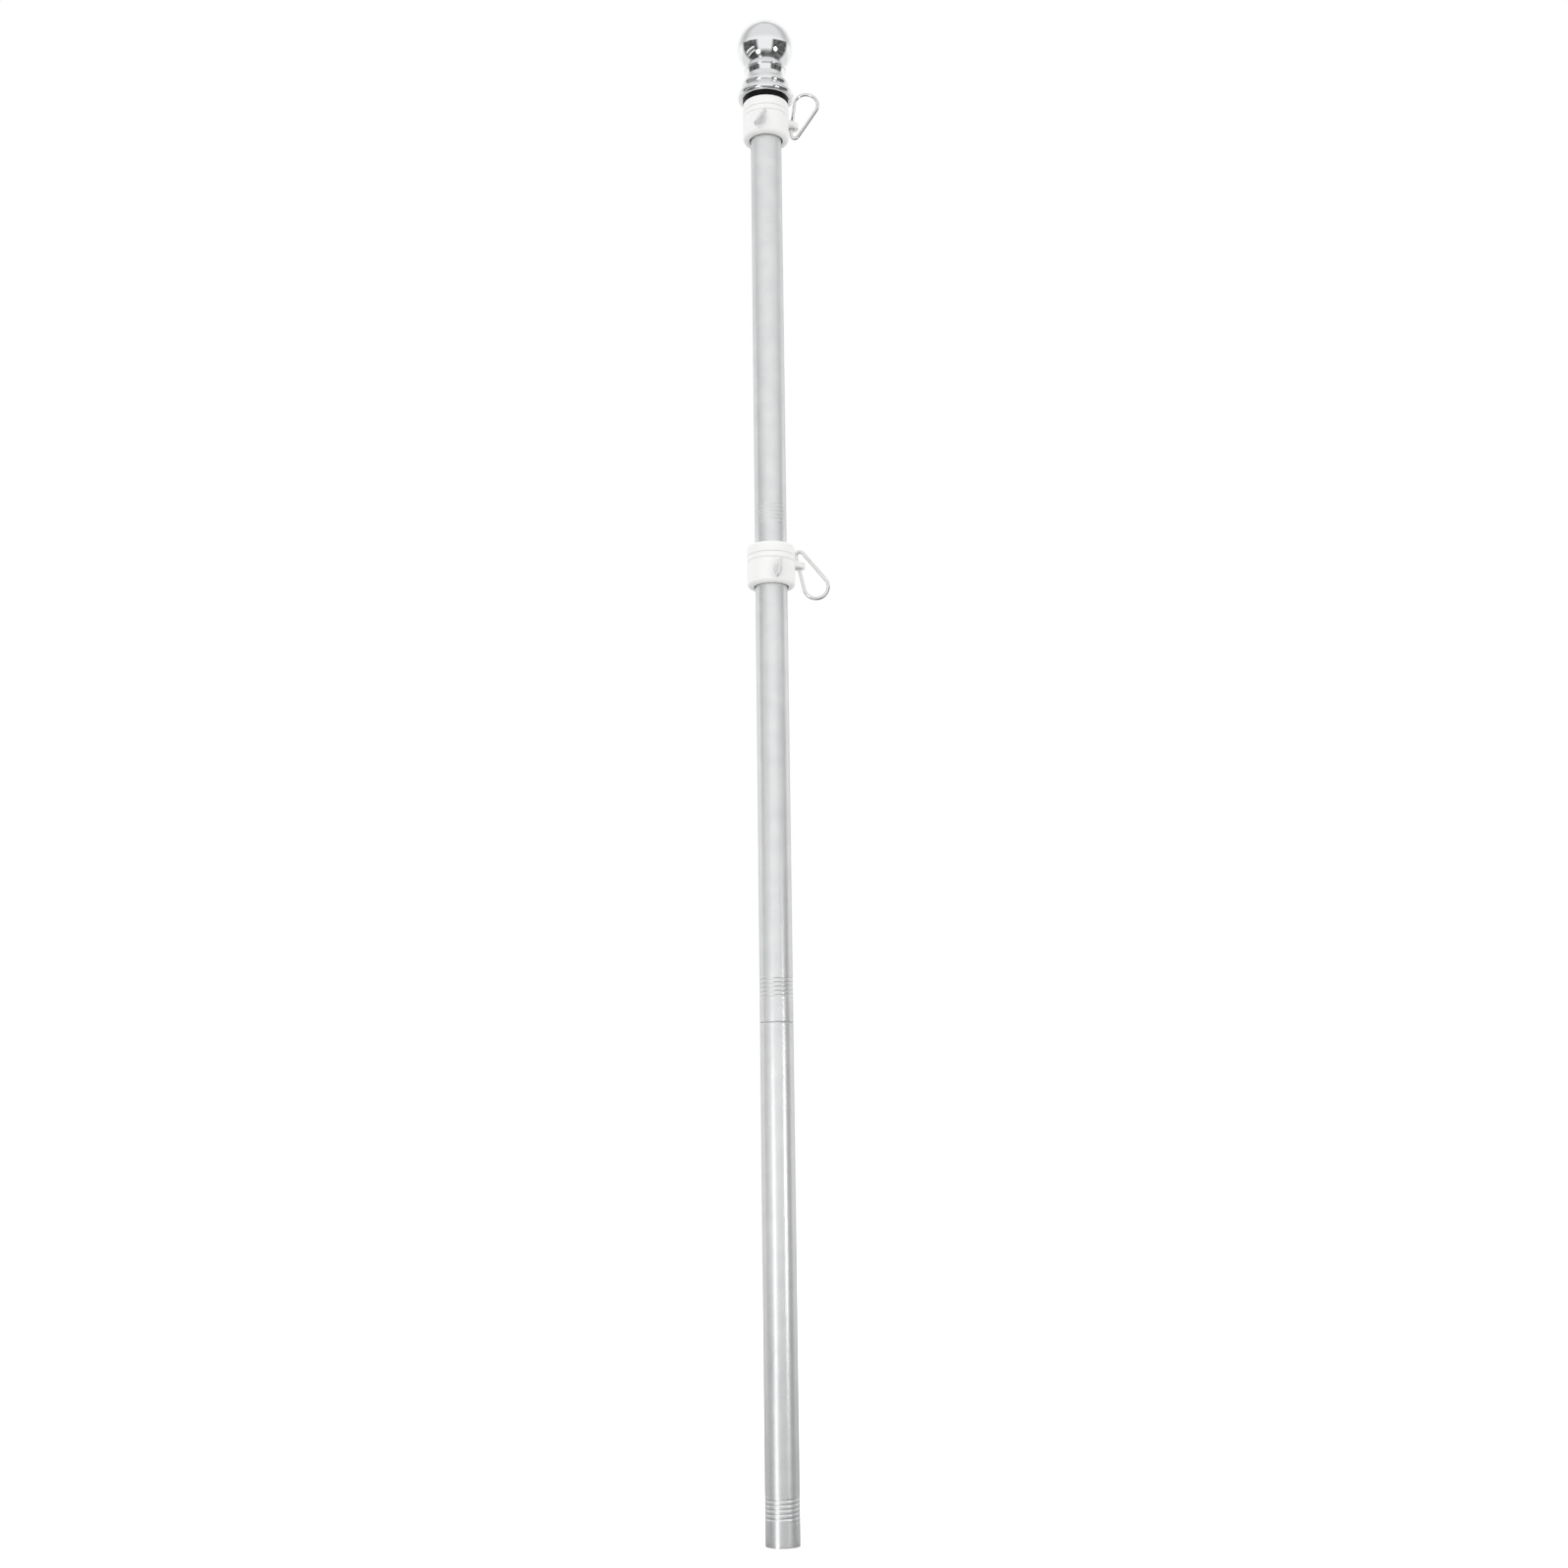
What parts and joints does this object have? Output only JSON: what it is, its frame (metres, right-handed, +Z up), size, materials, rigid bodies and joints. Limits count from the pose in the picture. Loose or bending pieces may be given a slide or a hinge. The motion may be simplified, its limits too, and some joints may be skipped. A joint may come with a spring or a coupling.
{
  "type": "bracket-mounted sectional flagpole with swivel rings",
  "caption": "Slim sectional metal flagpole for a wall bracket, with a ball finial and clamp-on white swivel rings that carry snap clips for a flag.",
  "frame": {"origin": "centre of the flat bottom end of the lower tube", "axes": "+Z up along the pole, -Y towards the front where the thumb screws are, +X towards the clips"},
  "size_m": [0.0706, 0.0501, 1.2179],
  "materials": {
    "satin_tube": "satin anodised",
    "white_plastic": "moulded, satin",
    "black_plastic": "moulded",
    "bright_plating": "mirror",
    "clip_steel": "plated wire",
    "screw_steel": "plated"
  },
  "bodies": {
    "pole": {"tube_lower": "satin_tube", "tube_middle": "satin_tube", "tube_upper": "satin_tube", "finial_socket": "black_plastic", "finial_base": "bright_plating", "finial_washer": "bright_plating", "finial_ball": "bright_plating"},
    "lower_ring": {"lower_ring_collar": "white_plastic", "lower_ring_cap": "white_plastic", "lower_thumb_screw": "screw_steel"},
    "lower_band": {"lower_ring_band": "white_plastic"},
    "lower_clip": {"lower_clip_body": "clip_steel", "lower_clip_pin": "screw_steel"},
    "lower_gate": {"lower_clip_gate": "clip_steel"},
    "upper_ring": {"upper_ring_collar": "white_plastic", "upper_ring_cap": "white_plastic", "upper_thumb_screw": "screw_steel"},
    "upper_band": {"upper_ring_band": "white_plastic"},
    "upper_clip": {"upper_clip_body": "clip_steel", "upper_clip_pin": "screw_steel"},
    "upper_gate": {"upper_clip_gate": "clip_steel"}
  },
  "joints": [
    {"name": "lower_ring_slide", "type": "slide", "parent": "pole", "child": "lower_ring", "axis": [0, 0, 1], "range_m": [-0.68, 0.15]},
    {"name": "lower_band_spin", "type": "hinge", "parent": "lower_ring", "child": "lower_band", "pos_m": [0, 0, 0.74585], "axis": [0, 0, 1], "continuous": true},
    {"name": "lower_clip_swing", "type": "hinge", "parent": "lower_band", "child": "lower_clip", "pos_m": [0.02182, 0.01674, 0.74585], "axis": [0, 1, 0], "range_deg": [-8, 30]},
    {"name": "lower_gate_open", "type": "hinge", "parent": "lower_clip", "child": "lower_gate", "pos_m": [0.03079, 0.01674, 0.75023], "axis": [0, 1, 0], "range_deg": [0, 25], "stiffness_Nm_per_rad": 0.004, "springref_deg": -17.19},
    {"name": "upper_ring_slide", "type": "slide", "parent": "pole", "child": "upper_ring", "axis": [0, 0, 1], "range_m": [-0.15, 0]},
    {"name": "upper_band_spin", "type": "hinge", "parent": "upper_ring", "child": "upper_band", "pos_m": [0, 0, 1.13165], "axis": [0, 0, 1], "continuous": true},
    {"name": "upper_clip_turn", "type": "hinge", "parent": "upper_band", "child": "upper_clip", "pos_m": [0.02182, 0.01674, 1.13165], "axis": [0.1192, 0, 0.9929], "range_deg": [-70, 140]},
    {"name": "upper_gate_open", "type": "hinge", "parent": "upper_clip", "child": "upper_gate", "pos_m": [0.02196, 0.01674, 1.13287], "axis": [0, 1, 0], "range_deg": [0, 25], "stiffness_Nm_per_rad": 0.004, "springref_deg": -17.19}
  ]
}
